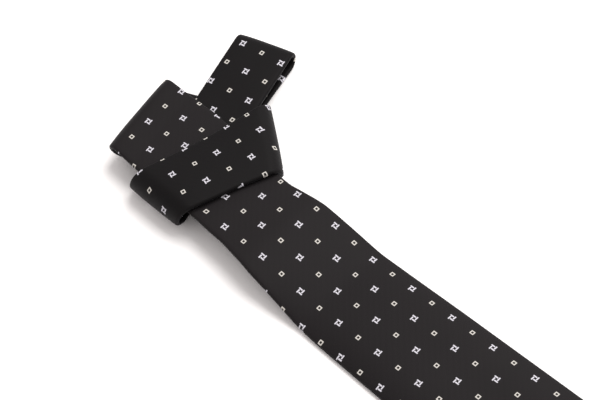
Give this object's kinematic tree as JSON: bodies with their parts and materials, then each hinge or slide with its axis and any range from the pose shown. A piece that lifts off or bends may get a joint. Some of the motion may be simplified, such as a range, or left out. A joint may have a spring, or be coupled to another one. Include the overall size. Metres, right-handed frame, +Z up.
{
  "type": "necktie",
  "caption": "Dark patterned silk necktie, folded and wrapped round itself, with its blades laid out flat; worn round a shirt collar.",
  "frame": {"origin": "on the table, under the middle of the folded tie's bounding box", "axes": "+X along the wide blade towards its tip, +Y towards the side that the folded tail points to, +Z up"},
  "size_m": [0.5924, 0.1402, 0.0208],
  "materials": {
    "silk": "satin",
    "interlining": "matte",
    "tipping": "satin",
    "thread": "matte"
  },
  "bodies": {
    "pile": {"wrap_shell": "silk", "wrap_interlining": "interlining", "wrap_slip_stitch": "thread", "return_shell": "silk", "return_interlining": "interlining", "return_slip_stitch": "thread"},
    "free_ends": {"wide_blade_shell": "silk", "wide_blade_interlining": "interlining", "wide_blade_slip_stitch": "thread", "narrow_blade_shell": "silk", "narrow_blade_interlining": "interlining", "narrow_blade_slip_stitch": "thread", "wide_tipping": "tipping", "narrow_tipping": "tipping", "wide_bar_tack": "thread", "narrow_bar_tack": "thread", "keeper_loop": "tipping"},
    "tail": {"tail_shell": "silk", "tail_interlining": "interlining", "tail_slip_stitch": "thread"}
  },
  "joints": [
    {"name": "wide_blade_lift", "type": "hinge", "parent": "pile", "child": "free_ends", "pos_m": [-0.0978, -0.03009, 0.0064], "axis": [0, -1, 0], "range_deg": [0, 40]},
    {"name": "tail_lift", "type": "hinge", "parent": "pile", "child": "tail", "pos_m": [-0.2609, 0.0262, 0.0132], "axis": [0.9558, 0.2939, 0], "range_deg": [0, 30]}
  ]
}
